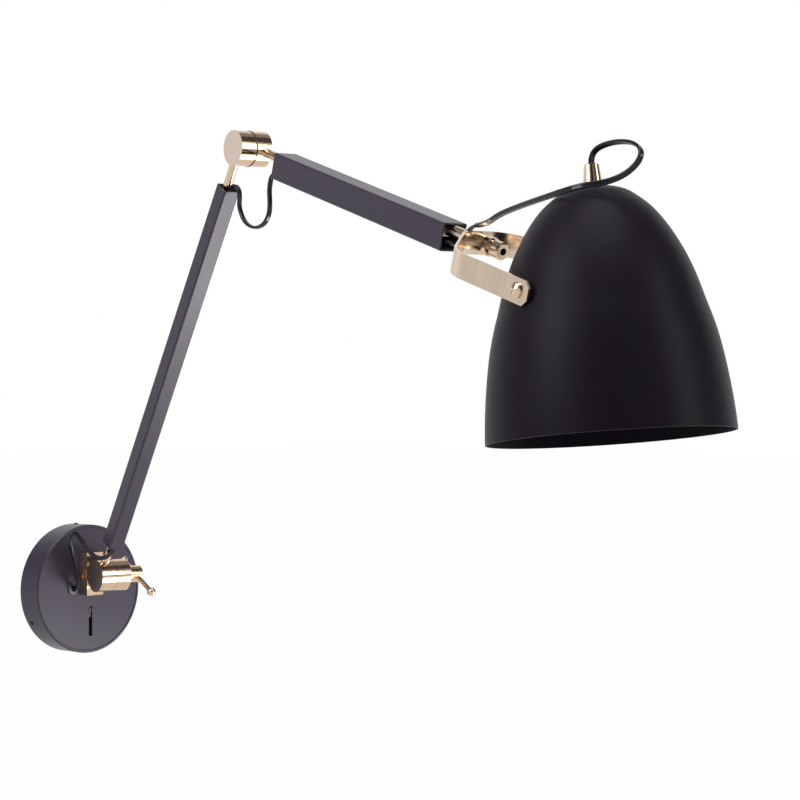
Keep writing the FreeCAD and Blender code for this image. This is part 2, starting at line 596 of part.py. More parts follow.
def strap_side(offset):
    """Half of the strap's bent line, moved sideways by offset towards the outside."""
    slope = math.atan2(BEND - BACK, LEG_X - FLAT)
    bend_in = math.tan((math.pi / 2 - slope) / 2)
    flat_in = math.tan(slope / 2)
    return [(LEG_X + offset, PAST), (LEG_X + offset, BEND - offset * bend_in),
            (FLAT + offset * flat_in, BACK - offset)]


outer_side, inner_side = strap_side(HALF_STRAP), strap_side(-HALF_STRAP)
loop = outer_side + [(-x, z) for x, z in reversed(outer_side)] + [(-x, z) for x, z in inner_side]
loop += list(reversed(inner_side))
strap = body("strap")
bent = sketch(strap, "Strap_line", "XZ_Plane")
polygon(bent, loop)
band = pad(strap, bent, "strap_wide", "Strap_band", both=True)
doc.recompute()


def near_edges(shape, spots, along, tolerance=0.6):
    names = []
    for k, edge in enumerate(shape.Edges):
        mid = edge.BoundBox.Center
        run = getattr(edge.BoundBox, along)
        for spot in spots:
            if run > 1 and all(abs(m - s) < tolerance for m, s in zip((mid.x, mid.y, mid.z), spot) if s is not None):
                names.append("Edge%d" % (k + 1))
    return names


LEG_BEND_IN, FLAT_BEND_IN = 42.0, 23.0
bent_strap = band
for name, (x, z), radius in (("Inner_flat", inner_side[2], FLAT_BEND_IN),
                             ("Outer_flat", outer_side[2], FLAT_BEND_IN + S["strap_thick"]),
                             ("Inner_leg", inner_side[1], LEG_BEND_IN),
                             ("Outer_leg", outer_side[1], LEG_BEND_IN + S["strap_thick"])):
    bend = strap.newObject("PartDesign::Fillet", name + "_bends")
    bend.Base = (bent_strap, near_edges(bent_strap.Shape, [(-x, 0, z), (x, 0, z)], "YLength"))
    bend.Radius = radius
    doc.recompute()
    bent_strap = bend
ends = strap.newObject("PartDesign::Chamfer", "Leg_corners")
ends.Base = (bent_strap, near_edges(bent_strap.Shape, [(s * LEG_X, w * S["strap_wide"] / 2, PAST)
                                                       for s in (-1, 1) for w in (-1, 1)], "XLength"))
ends.Size = 4.6
doc.recompute()
stem_hole = sketch(strap, "Stem_hole", "XY_Plane")
circle(stem_hole, 0, 0, "stem_dia+2*fit_gap")
cut_through(strap, stem_hole, "Stem_hole_cut")
leg_holes = sketch(strap, "Leg_holes", "YZ_Plane")
circle(leg_holes, 0, 0, "pivot_dia+2*fit_gap")
cut_through(strap, leg_holes, "Leg_holes_cut")
doc.recompute()
keep(strap, "yoke_strap", YOKE)

# ---------- bell shade ----------
BELL = [(13.0, 73.7), (19.0, 72.4), (25.2, 69.8), (31.3, 65.4), (37.4, 60.2), (42.2, 55.0), (49.4, 45.2),
        (57.9, 30.4), (62.6, 20.3), (66.5, 10.2), (69.8, 0), (72.7, -10.0), (76.4, -22.0), (80.8, -40.0),
        (84.1, -60.0), (86.5, -80.0), (88.0, -102.0)]
TOP_Z = 74.0


def inset(points, depth):
    """The same curve moved inwards by the thickness of the metal."""
    moved = []
    for k, (r, z) in enumerate(points):
        r0, z0 = points[max(k - 1, 0)]
        r1, z1 = points[min(k + 1, len(points) - 1)]
        size = math.hypot(r1 - r0, z1 - z0)
        moved.append((r + depth * (z1 - z0) / size, z - depth * (r1 - r0) / size))
    return moved


def bell_sketch(bod, name, outer, inner):
    """Half section of the bell: two smooth curves, closed at the top axis and at the rim."""
    sk = sketch(bod, name, "XZ_Plane")
    curves = []
    for side in (outer, inner):
        curve = Part.BSplineCurve()
        curve.interpolate([V(r, z, 0) for r, z in side])
        curves.append(curve)
    sk.addGeometry(curves[0], False)
    sk.addGeometry(curves[1], False)
    for a, b in ((outer[-1], inner[-1]), (outer[0], (0, outer[0][1])), ((0, outer[0][1]), (0, inner[0][1])),
                 ((0, inner[0][1]), inner[0])):
        sk.addGeometry(Part.LineSegment(V(a[0], a[1], 0), V(b[0], b[1], 0)), False)
    return sk


bell_outer = [(r, z) for r, z in BELL]
bell_outer[0] = (BELL[0][0], TOP_Z)
bell_inner = inset(bell_outer, S["shade_wall"])
bell_inner[0] = (bell_outer[0][0], TOP_Z - S["shade_wall"])
bell_inner[-1] = (bell_outer[-1][0] - S["shade_wall"], bell_outer[-1][1])
bell = body("bell")
half = bell_sketch(bell, "Bell_section", bell_outer, bell_inner)
spun = bell.newObject("PartDesign::Revolution", "Bell_spun")
spun.Profile = half
spun.ReferenceAxis = (half, ["V_Axis"])
spun.Angle = 360
doc.recompute()
top_hole = sketch(bell, "Top_hole", "XY_Plane", TOP_Z - 5)
circle(top_hole, 0, 0, "stem_dia+2*fit_gap")
top_cut = bell.newObject("PartDesign::Pocket", "Top_hole_cut")
top_cut.Profile = top_hole
top_cut.Length = 20
top_cut.Reversed = True
side_holes = sketch(bell, "Side_holes", "YZ_Plane")
circle(side_holes, 0, 0, "pivot_dia+2*fit_gap")
cut_through(bell, side_holes, "Side_holes_cut")
doc.recompute()
keep(bell, "shade_shell", SHADE)


def bell_solid(points):
    """The full space inside one curve of the bell."""
    curve = Part.BSplineCurve()
    curve.interpolate([V(r, 0, z) for r, z in points])
    r_top, z_top = points[0]
    r_rim, z_rim = points[-1]
    lines = [Part.makeLine(V(r_rim, 0, z_rim), V(0, 0, z_rim)), Part.makeLine(V(0, 0, z_rim), V(0, 0, z_top)),
             Part.makeLine(V(0, 0, z_top), V(r_top, 0, z_top))]
    return Part.Face(Part.Wire([curve.toShape()] + lines)).revolve(V(0, 0, 0), V(0, 0, 1), 360)


OUTER_BELL = bell_solid(bell_outer)
WASHER_GAP = 0.1
STRAP_IN = S["leg_x"] - S["strap_thick"] / 2 - WASHER_GAP
STRAP_OUT = S["leg_x"] + S["strap_thick"] / 2 + WASHER_GAP
SHANK_R = S["pivot_dia"] / 2


def pivot_set(kind):
    solids = []
    for side in (-1, 1):
        way = V(side, 0, 0)
        if kind == "spacer":
            piece = Part.makeCylinder(5.0, STRAP_IN - 64, V(side * 64, 0, 0), way)
            piece = piece.cut(OUTER_BELL).cut(Part.makeCylinder(SHANK_R + S["fit_gap"], 20, V(side * 60, 0, 0), way))
        elif kind == "nut":
            piece = hexagon(8.0, 4.0, (side * 63.1, 0, 0), (side, 0, 0))
            piece = piece.cut(Part.makeCylinder(SHANK_R, 20, V(side * 55, 0, 0), way))
        else:
            shank = Part.makeCylinder(SHANK_R, STRAP_OUT - 62, V(side * 62, 0, 0), way)
            rim = Part.makeCylinder(5.8, 1.2, V(side * STRAP_OUT, 0, 0), way)
            dome = Part.makeSphere(8.2, V(side * (STRAP_OUT + 3.6 - 8.2), 0, 0))
            dome = dome.common(Part.makeCylinder(5.8, 4, V(side * (STRAP_OUT + 1.2), 0, 0), way))
            piece = shank.fuse(rim).fuse(dome)
            for turn in (35, 125):
                slot = Part.makeBox(1.6, 9.0, 1.1, V(-0.8, -4.5, -0.55))
                slot.Placement = FreeCAD.Placement(V(side * (STRAP_OUT + 3.2), 0, 0),
                                                   FreeCAD.Rotation(V(1, 0, 0), turn))
                piece = piece.cut(slot)
            piece = piece.removeSplitter()
        solids.append(piece)
    return Part.Compound(solids)


ON_PIVOT = FreeCAD.Placement(SHADE)
keep(shaped("PivotScrews", pivot_set("screw")), "shade_pivot_screws", ON_PIVOT)
keep(shaped("PivotSpacers", pivot_set("spacer")), "shade_pivot_spacers", ON_PIVOT)
keep(shaped("PivotNuts", pivot_set("nut")), "shade_pivot_nuts", ON_PIVOT)

grip = body("grip")
turned(grip, "Grip_turning", [
    (1.6, "grip_tall"), ("grip_top/2-0.8", "grip_tall"), ("grip_top/2", "grip_tall-0.8"),
    ("grip_top/2+0.4", "grip_tall-4"), ("grip_base/2-0.3", 5), ("grip_base/2", 2.4), ("grip_base/2", 0),
    ("stem_dia/2", 0), ("stem_dia/2", 7), (1.6, 9)], axis="V_Axis", role="XZ_Plane")
keep(grip, "cord_grip", SHADE.multiply(frame_at(0, 0, TOP_Z)))
NIPPLE_FROM = 56.0
keep(less("Nipple", cylinder("NippleRod", "stem_dia", TOP_Z + 6.5 - NIPPLE_FROM, (0, 0, NIPPLE_FROM)),
          cylinder("NippleBore", 7, 40, (0, 0, NIPPLE_FROM - 1))), "cord_nipple", SHADE)
UNDER_TOP = TOP_Z - S["shade_wall"]
lock = hexagon(16.0, 3.6, (0, 0, UNDER_TOP - 3.6), (0, 0, 1))
lock = lock.cut(Part.makeCylinder(S["stem_dia"] / 2, 10, V(0, 0, UNDER_TOP - 6)))
keep(shaped("GripNut", lock), "cord_grip_nut", SHADE)

# ---------- lampholder ----------
CAP_TOP, CAP_FOOT, SKIRT_FOOT, BORE_TOP, BORE_R = 66.0, 50.0, 12.0, 43.0, 13.4
dome_cap = body("holdercap")
turned(dome_cap, "Holder_cap_turning", [
    ("stem_dia/2", CAP_TOP), (9.5, CAP_TOP), (12.5, CAP_TOP - 2.5), (19.0, CAP_FOOT + 4), (19.0, CAP_FOOT),
    (16.6, CAP_FOOT), (16.6, CAP_FOOT + 3), ("stem_dia/2", CAP_TOP - 6)], axis="V_Axis", role="XZ_Plane")
keep(dome_cap, "lampholder_cap", SHADE)
skirt = body("holderskirt")
turned(skirt, "Holder_skirt_turning", [
    (0, CAP_FOOT), (19.0, CAP_FOOT), (19.0, 34), (17.8, 34), (17.8, 24), (18.6, 24), (18.6, 22.6), (17.0, 22.6),
    (16.6, SKIRT_FOOT), (BORE_R, SKIRT_FOOT), (BORE_R, BORE_TOP), (0, BORE_TOP)], axis="V_Axis", role="XZ_Plane")
keep(skirt, "lampholder_skirt", SHADE)
collar_ring = body("holderring")
turned(collar_ring, "Holder_ring_turning", [
    (17.9, 33.6), (22.5, 33.6), (22.5, 31.6), (20.0, 31.6), (20.0, 24.2), (17.9, 24.2)],
    axis="V_Axis", role="XZ_Plane")
keep(collar_ring, "lampholder_ring", SHADE)
tongue_spring = Part.makeBox(14.0, 5.0, 0.6, V(-7.0, -2.5, BORE_TOP - 0.6))
tongue_tip = Part.makeCylinder(3.2, 2.4, V(0, 0, BORE_TOP - 3.0))
keep(shaped("Contact", tongue_spring.fuse(tongue_tip).removeSplitter()), "lampholder_contact", SHADE)
sleeve = Part.makeCylinder(BORE_R, 22, V(0, 0, 17)).cut(Part.makeCylinder(BORE_R - 0.4, 24, V(0, 0, 16)))
keep(shaped("ScrewShell", sleeve), "lampholder_screw_shell", SHADE)

# ---------- cords ----------
CORD_R = S["cord_dia"] / 2


def spot(frame, *points):
    """Points given in one group's own frame, as points of the row frame."""
    return [tuple(frame.multVec(V(*p))) for p in points]


def meeting(one_side, other_side):
    """The middle of the straight run that two cord pieces share; they meet there end to end."""
    return [tuple((a + b) / 2 for a, b in zip(one_side[-1], other_side[0]))]


BASE_INNER = [(S["inlet_x"], FACE_FRONT + 0.2, S["inlet_up"]), (-18.6, -29.6, 1.7), (-19.6, -33.6, 4.8),
              (-22.4, -37.8, 12.6), (-27.0, -41.0, 22.0), (-32.6, -44.2, 32.0), (-38.0, -47.2, 41.6),
              (-41.2, -49.6, 49.0), (-41.0, -52.0, 54.4), (-38.0, -54.6, 55.8), (-34.6, -56.6, 51.0)]
BASE_OUTER = [(-27.6, -61.2, 38.2), (-24.2, -64.4, 33.6), (-20.4, -68.6, 31.6), (-16.4, -72.4, 32.8)]
BASE_OUTER += spot(LOW, (S["low_x"], -4.9, 31.6), (S["low_x"], -4.6, S["low_start"]))
BASE_MEET = meeting(BASE_INNER, BASE_OUTER)
ELBOW_ROUTE = spot(LOW, (S["low_x"], -4.6, S["low_end"]), (S["low_x"], -4.7, 413.6), (-6.8, -8.6, 417.4),
                   (-6.2, -14.6, 416.8), (-5.4, -18.4, 411.6), (-4.8, -20.0, 404.6))
ELBOW_ROUTE += [(-44.4, -289.6, 337.0), (-44.6, -294.6, 329.6), (-45.0, -303.2, 324.8), (-46.0, -313.6, 323.8),
                (-46.8, -323.0, 327.4), (-46.8, -328.2, 335.6), (-45.8, -327.4, 345.2)]
ELBOW_ROUTE += spot(HIGH, (1.4, -27.6, 40.8), (1.8, -20.6, 39.4), (2.0, -15.4, 39.6), (2.2, -12.4, 42.0),
                    (2.2, -11.8, S["high_start"]))
SHADE_INNER = spot(HIGH, (4.0, -8.5, S["high_end"]))
SHADE_INNER += spot(YOKE, (-6.2, -7.4, -160.0), (-9.2, -2.4, -153.8), (-10.0, 5.4, -149.2), (-9.8, 12.4, -143.4))
SHADE_OUTER = spot(YOKE, (-14.8, 16.8, -128.0), (-20.0, 22.2, -113.0))
SHADE_OUTER += [(-115.8, -650.3, 316.5), (-123.6, -676.6, 320.6), (-133.2, -708.4, 324.6),
                (-139.4, -733.0, 328.0), (-136.0, -748.0, 331.0), (-126.8, -760.4, 332.8), (-120.9, -772.6, 338.4),
                (-118.0, -781.4, 347.0), (-115.0, -780.4, 355.0), (-112.4, -770.7, 360.3), (-109.5, -756.4, 362.2),
                (-107.2, -742.0, 361.4), (-106.2, -731.6, 358.4)]
SHADE_OUTER += spot(SHADE, (0, 0, TOP_Z + S["grip_tall"] + 4.0), (0, 0, TOP_Z + S["grip_tall"]))
SHADE_MEET = meeting(SHADE_INNER, SHADE_OUTER)


def cord_tube(name, route):
    """A tube along straight runs joined by tangent arcs, with its radii and volume printed."""
    points = [V(*p) for p in route]
    edges, radii = [], []
    start = points[0]
    for k in range(1, len(points) - 1):
        before, here, after = points[k - 1], points[k], points[k + 1]
        run = min((here - before).Length, (after - here).Length)
        arrive = (here - before).normalize()
        leave = (after - here).normalize()
        turn = arrive.getAngle(leave)
        reach = 0.45 * run
        radii.append(reach / math.tan(turn / 2))
        first, last = here - arrive * reach, here + leave * reach
        inward = (leave - arrive).normalize()
        centre = here + inward * (radii[-1] / math.cos(turn / 2))
        middle = centre - inward * radii[-1]
        edges.append(Part.LineSegment(start, first).toShape())
        edges.append(Part.Arc(first, middle, last).toShape())
        start = last
    edges.append(Part.LineSegment(start, points[-1]).toShape())
    path = Part.Wire(edges)
    section = Part.Wire(Part.makeCircle(CORD_R, points[0], points[1] - points[0]))
    tube = path.makePipeShell([section], True, False)
    share = tube.Volume / (math.pi * CORD_R ** 2 * path.Length)
    print("%s length %.1f smallest radius %.1f volume share %.4f" % (name, path.Length, min(radii), share))
    print("   radii", " ".join("%.0f" % r for r in radii))
    return keep(shaped("Cord_" + name, tube), name, frame_at())


cord_tube("base_cord_inner", BASE_INNER + BASE_MEET)
cord_tube("base_cord_outer", BASE_MEET + BASE_OUTER)
cord_tube("elbow_cord", ELBOW_ROUTE)
cord_tube("shade_cord_inner", SHADE_INNER + SHADE_MEET)
cord_tube("shade_cord_outer", SHADE_MEET + SHADE_OUTER)

# ---------- checks and files ----------
doc.recompute()
for item in doc.Objects:
    if "Invalid" in item.State or "Error" in item.State:
        raise RuntimeError("%s did not compute: %s" % (item.Label, item.State))
labels = [item.Label for item in parts]
if len(set(labels)) != len(labels):
    raise RuntimeError("two pieces share a name")
for item in parts:
    if item.Shape.isNull() or not item.Shape.isValid() or item.Shape.Volume <= 0:
        raise RuntimeError("%s has no sound shape" % item.Label)
    item.Shape.exportStep("parts/%s.step" % item.Label)
    print("%-26s %2d solids %10.1f mm3" % (item.Label, len(item.Shape.Solids), item.Shape.Volume))
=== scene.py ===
import json
import math

import bpy
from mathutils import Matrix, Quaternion, Vector


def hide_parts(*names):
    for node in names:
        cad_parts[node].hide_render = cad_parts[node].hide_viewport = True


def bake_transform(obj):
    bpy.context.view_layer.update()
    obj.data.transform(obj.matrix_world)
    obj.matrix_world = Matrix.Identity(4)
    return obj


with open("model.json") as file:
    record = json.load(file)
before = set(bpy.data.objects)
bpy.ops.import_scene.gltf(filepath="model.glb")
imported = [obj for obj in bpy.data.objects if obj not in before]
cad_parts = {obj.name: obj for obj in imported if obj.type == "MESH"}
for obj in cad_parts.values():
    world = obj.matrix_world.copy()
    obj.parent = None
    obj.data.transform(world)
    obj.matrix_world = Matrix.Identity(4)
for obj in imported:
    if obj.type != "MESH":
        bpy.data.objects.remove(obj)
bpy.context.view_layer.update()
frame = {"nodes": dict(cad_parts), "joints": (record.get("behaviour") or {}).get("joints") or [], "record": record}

print("frame loaded")


class Sock:
    # an output of a node, so that shader sums read as plain Python
    def __init__(self, board, out):
        self.board = board
        self.out = out

    def sums(self, kind, *values, clamp=False):
        return self.board.node("ShaderNodeMath", {"operation": kind, "use_clamp": clamp},
                               dict(enumerate(values)))

    def __add__(self, other):
        return self.sums("ADD", self, other)

    def __radd__(self, other):
        return self.sums("ADD", other, self)

    def __sub__(self, other):
        return self.sums("SUBTRACT", self, other)

    def __mul__(self, other):
        return self.sums("MULTIPLY", self, other)

    def clipped(self):
        return self.sums("ADD", self, 0.0, clamp=True)

    def unsigned(self):
        return self.sums("ABSOLUTE", self)

    def steps(self, low, high):
        # 0 at low, 1 at high and smooth between them
        return self.board.node("ShaderNodeMapRange", {"interpolation_type": "SMOOTHSTEP"},
                               {"Value": self, "From Min": low, "From Max": high}, out="Result")


class Board:
    # a node tree with one method that adds any node
    def __init__(self, tree):
        self.tree = tree

    def node(self, kind, settings=None, values=None, out=0):
        added = self.tree.nodes.new(kind)
        for name, setting in (settings or {}).items():
            if name == "stops":
                self.setStops(added.color_ramp, setting)
            else:
                setattr(added, name, setting)
        for name, value in (values or {}).items():
            self.feed(added.inputs[name], value)
        return Sock(self, added.outputs[out])

    def setStops(self, ramp, stops):
        while len(ramp.elements) < len(stops):
            ramp.elements.new(0.5)
        for element, (at, colour) in zip(ramp.elements, stops):
            element.position = at
            element.color = (*colour, 1)

    def feed(self, socket, value):
        if isinstance(value, Sock):
            self.tree.links.new(value.out, socket)
        elif socket.type == "RGBA" and len(value) == 3:
            socket.default_value = (*value, 1)
        else:
            socket.default_value = value

    def blend(self, mask, a, b, kind="MIX"):
        # colours are mixed here, because a Math node would turn them grey
        return self.node("ShaderNodeMix", {"data_type": "RGBA", "blend_type": kind},
                         {0: mask, 6: a, 7: b}, out=2)

    def along(self, direction, vector):
        return self.node("ShaderNodeVectorMath", {"operation": "DOT_PRODUCT"},
                         {0: vector, 1: direction}, out=1)

    def ray(self, kind):
        return self.node("ShaderNodeLightPath", out="Is %s Ray" % kind)


class Finish(Board):
    # one material with its Principled shader and the textures that the finishes share
    def __init__(self, name, **fixed):
        self.mat = bpy.data.materials.new(name)
        self.mat.use_nodes = True
        super().__init__(self.mat.node_tree)
        self.shader = self.tree.nodes["Principled BSDF"]
        for socket, value in fixed.items():
            self.shader.inputs[socket.replace("_", " ")].default_value = value

    def place(self):
        return self.node("ShaderNodeTexCoord", out="Object")  # in metres

    def facing(self, direction):
        normal = self.node("ShaderNodeTexCoord", out="Normal")  # turns with the object
        return self.along(direction, normal)

    def noise(self, scale, detail, rough=0.5, vector=None):
        return self.node("ShaderNodeTexNoise", None,
                         {"Vector": vector or self.place(), "Scale": scale,
                          "Detail": detail, "Roughness": rough})

    def streaks(self, axes, scales, detail, rough=0.5):
        # noise with its own scale along each axis
        parts = [self.along(axis, self.place()) * scale for axis, scale in zip(axes, scales)]
        stretched = self.node("ShaderNodeCombineXYZ", None, dict(enumerate(parts)))
        return self.noise(1.0, detail, rough, stretched)

    def spots(self, scale):
        return self.node("ShaderNodeTexVoronoi", None, {"Vector": self.place(), "Scale": scale})

    def paint(self, **links):
        for socket, value in links.items():
            self.feed(self.shader.inputs[socket.replace("_", " ")], value)

    def relief(self, height, distance, strength):
        self.paint(Normal=self.node("ShaderNodeBump", None,
                                    {"Height": height, "Distance": distance, "Strength": strength}))


# the directions of the lamp's own parts at rest
joint = {j["name"]: j for j in frame["joints"]}
hingeAxis = Vector(joint["lower_hinge"]["axis"])
lowArm = (Vector(joint["elbow"]["pos_m"]) - Vector(joint["lower_hinge"]["pos_m"])).normalized()
highArm = Vector(joint["yoke_turn"]["axis"])
strapSide = highArm.cross(hingeAxis).normalized()

# In every finish a noise is (scale, detail, roughness), a Band is (0 at, 1 at), a Tint is its share
# in the colour, a Rough its swing in the roughness, and relief is (depth in metres, strength).
satinBlack = {"base": (0.026, 0.019, 0.034), "worn": (0.052, 0.040, 0.068), "rough": 0.34, "gloss": 0.34,
              "cloud": (9, 4), "cloudTint": 0.5, "cloudRough": 0.12, "peel": (1400, 2),
              "dust": (420, 5, 0.7), "dustBand": (0.62, 0.8), "dustTint": 0.35, "dustRough": 0.1,
              "relief": (0.00004, 0.35)}


def makeSatinBlack(s):
    f = Finish("satinBlackEnamel", Specular_IOR_Level=s["gloss"])
    cloud = f.noise(*s["cloud"])
    dust = f.noise(*s["dust"]).steps(*s["dustBand"])
    f.paint(Base_Color=f.blend(cloud * s["cloudTint"] + dust * s["dustTint"], s["base"], s["worn"]),
            Roughness=(s["rough"] + (cloud - 0.5) * s["cloudRough"] + dust * s["dustRough"]).clipped())
    f.relief(f.noise(*s["peel"]), *s["relief"])
    return f.mat


matteBlack = {"base": (0.0055, 0.0032, 0.0065), "dusty": (0.012, 0.008, 0.016), "rough": 0.44, "gloss": 0.09,
              "cloud": (6, 3), "cloudTint": 0.55, "cloudRough": 0.06, "grain": (2300, 2), "grainRough": 0.14,
              "specks": 260, "specksBand": (0.05, 0.0), "specksTint": 0.08, "relief": (0.00005, 0.4)}


def makeMatteBlack(s):
    f = Finish("matteBlackPowder", Specular_IOR_Level=s["gloss"])
    cloud = f.noise(*s["cloud"])
    grain = f.noise(*s["grain"])
    specks = f.spots(s["specks"]).steps(*s["specksBand"])
    rough = s["rough"] + (grain - 0.5) * s["grainRough"] + (cloud - 0.5) * s["cloudRough"]
    f.paint(Base_Color=f.blend(cloud * s["cloudTint"] + specks * s["specksTint"], s["base"], s["dusty"]),
            Roughness=rough.clipped())
    f.relief(grain, *s["relief"])
    return f.mat


turnedBrass = {"base": (0.70, 0.52, 0.37), "dark": (0.46, 0.31, 0.20), "cap": (0.80, 0.66, 0.54),
               "rough": 0.13, "capRough": 0.34, "capBand": (0.94, 0.985),
               "cloud": (55, 4), "cloudTint": 0.45, "rings": ((5200, 40, 40), 2), "ringsRough": 0.08,
               "tarnish": (240, 5, 0.65), "tarnishBand": (0.55, 0.8), "tarnishTint": 0.35,
               "tarnishRough": 0.1, "relief": (0.00003, 0.25)}


def makeTurnedBrass(s):
    f = Finish("turnedBrass", Metallic=1.0)
    cloud = f.noise(*s["cloud"])
    cap = f.facing(hingeAxis).unsigned().steps(*s["capBand"])  # the flat ends of the hinges
    rings = f.streaks((hingeAxis, lowArm, highArm), *s["rings"])
    tarnish = f.noise(*s["tarnish"]).steps(*s["tarnishBand"])
    warm = f.blend(cloud * s["cloudTint"] + tarnish * s["tarnishTint"], s["base"], s["dark"])
    duller = s["rough"] + cap * (s["capRough"] - s["rough"]) + tarnish * s["tarnishRough"]
    f.paint(Base_Color=f.blend(cap, warm, s["cap"]),
            Roughness=(duller + (rings - 0.5) * s["ringsRough"]).clipped())
    f.relief(rings, *s["relief"])
    return f.mat


# The wide streaks are painted reflection bands: broad darker stripes across the strip that stand in for the studio
# screens mirrored in the brass. The fine lines are the strap's own brushing, and the dark colour serves both.
strapBrass = {"base": (0.78, 0.64, 0.50), "brushingAndReflectionDark": (0.50, 0.38, 0.27), "rough": 0.22,
              "lines": ((2600, 30, 2600), 4, 0.6), "linesTint": 0.4, "linesRough": 0.22,
              "wide": ((160, 12, 160), 2), "paintedReflectionBand": (0.3, 0.7), "paintedReflectionTint": 0.22, "relief": (0.00003, 0.5)}


def makeStrapBrass(s):
    f = Finish("brushedStrapBrassWithPaintedBands", Metallic=1.0)
    axes = (hingeAxis, strapSide, highArm)
    lines = f.streaks(axes, *s["lines"])
    # painted reflection: broad darker bands across the strip, in the colour and not from the lamps
    wide = f.streaks(axes, *s["wide"]).steps(*s["paintedReflectionBand"])
    f.paint(Base_Color=f.blend(lines * s["linesTint"] + wide * s["paintedReflectionTint"], s["base"], s["brushingAndReflectionDark"]),
            Roughness=(s["rough"] + (lines - 0.5) * s["linesRough"]).clipped())
    f.relief(lines, *s["relief"])
    return f.mat


zincSteel = {"base": (0.60, 0.60, 0.62), "dull": (0.44, 0.44, 0.45), "rough": 0.34,
             "cloud": (80, 4), "cloudRough": 0.1, "crystals": 700, "crystalsRough": 0.12,
             "relief": (0.00003, 0.3)}


def makeZincSteel(s):
    f = Finish("zincSteel", Metallic=1.0)
    crystals = f.spots(s["crystals"])
    cloud = f.noise(*s["cloud"])
    rough = s["rough"] + crystals * s["crystalsRough"] + (cloud - 0.5) * s["cloudRough"]
    f.paint(Base_Color=f.blend(cloud, s["base"], s["dull"]), Roughness=rough.clipped())
    f.relief(crystals, *s["relief"])
    return f.mat


blackMoulding = {"base": (0.022, 0.021, 0.023), "pale": (0.040, 0.039, 0.042), "rough": 0.46}
whiteMoulding = {"base": (0.80, 0.80, 0.76), "pale": (0.72, 0.71, 0.66), "rough": 0.42}
blackenedSteel = {"base": (0.010, 0.009, 0.011), "pale": (0.024, 0.022, 0.026), "rough": 0.4}
fineGrain = {"grain": (1600, 3), "grainRough": 0.16, "cloud": (30, 3), "cloudTint": 0.6,
             "relief": (0.00004, 0.4)}


def makeFineGrain(name, s, g):
    f = Finish(name)
    grain = f.noise(*g["grain"])
    cloud = f.noise(*g["cloud"])
    f.paint(Base_Color=f.blend(cloud * g["cloudTint"], s["base"], s["pale"]),
            Roughness=(s["rough"] + (grain - 0.5) * g["grainRough"]).clipped())
    f.relief(grain, *g["relief"])
    return f.mat


flexFinish = {"base": (0.007, 0.006, 0.010), "pale": (0.016, 0.014, 0.022), "rough": 0.13, "gloss": 0.28,
              "cloud": (90, 4), "cloudRough": 0.14, "ripple": (320, 3), "relief": (0.00008, 0.35)}


def makeFlexFinish(s):
    f = Finish("glossyFlex", Specular_IOR_Level=s["gloss"])
    cloud = f.noise(*s["cloud"])
    f.paint(Base_Color=f.blend(cloud, s["base"], s["pale"]),
            Roughness=(s["rough"] + (cloud - 0.5) * s["cloudRough"]).clipped())
    f.relief(f.noise(*s["ripple"]), *s["relief"])
    return f.mat


looks = {
    "black_enamel": makeSatinBlack(satinBlack),
    "matte_black": makeMatteBlack(matteBlack),
    "brass": makeTurnedBrass(turnedBrass),
    "brushed_brass": makeStrapBrass(strapBrass),
    "steel": makeZincSteel(zincSteel),
    "black_plastic": makeFineGrain("blackMoulding", blackMoulding, fineGrain),
    "white_plastic": makeFineGrain("whiteMoulding", whiteMoulding, fineGrain),
    "cord_black": makeFlexFinish(flexFinish),
}
blackened = {"nodes": ("canopy_set_screws", "lower_arm_screws", "upper_arm_screws"),
             "look": makeFineGrain("blackenedSteel", blackenedSteel, fineGrain)}
for part in frame["record"]["subparts"]:
    target = frame["nodes"][part["node"]]
    look = blackened["look"] if part["node"] in blackened["nodes"] else looks[part["material_slot"]]
    for slot in target.material_slots:
        slot.material = look
    if not target.material_slots:
        target.data.materials.append(look)
print("materials on", len(frame["nodes"]), "nodes")


def routeLine(points):
    # the smooth line through a route in millimetres, read from a NURBS spline without a bevel
    curve = bpy.data.curves.new("routeCurve", "CURVE")
    curve.dimensions = "3D"
    curve.resolution_u = 10
    spline = curve.splines.new("NURBS")
    spline.points.add(len(points) - 1)
    for p, co in zip(spline.points, points):
        p.co = (co[0] / 1000, co[1] / 1000, co[2] / 1000, 1)
    spline.order_u = 3
    spline.use_endpoint_u = True
    holder = bpy.data.objects.new("routeHolder", curve)
    mesh = bpy.data.meshes.new_from_object(holder)
    line = [v.co.copy() for v in mesh.vertices]
    bpy.data.objects.remove(holder)
    return line


flex = {"wide": 0.0044, "thick": 0.0028, "around": 20, "sidePower": 0.8, "facePower": 0.62,
        "groove": 0.00035, "grooveWide": 0.0006, "grooveFrom": 0.0005}


def flexSection(s):
    # two cores side by side with a shallow groove between them, on both faces
    outline = []
    for k in range(s["around"]):
        a = 2 * math.pi * k / s["around"]
        x = s["wide"] / 2 * math.copysign(abs(math.cos(a)) ** s["sidePower"], math.cos(a))
        y = s["thick"] / 2 * math.copysign(abs(math.sin(a)) ** s["facePower"], math.sin(a))
        dip = s["groove"] * math.exp(-(x / s["grooveWide"]) ** 2)
        outline.append((x, y - math.copysign(dip, y) if abs(y) > s["grooveFrom"] else y))
    return outline


def twistAt(share, turns):
    # the flex's turn about its own line in radians, eased between the shares of its length in turns
    angle = 0.0
    for (s0, a0), (s1, a1) in zip(turns, turns[1:]):
        if s0 <= share <= s1:
            t = (share - s0) / (s1 - s0)
            angle = math.radians(a0 + (a1 - a0) * t * t * (3 - 2 * t))
    return angle


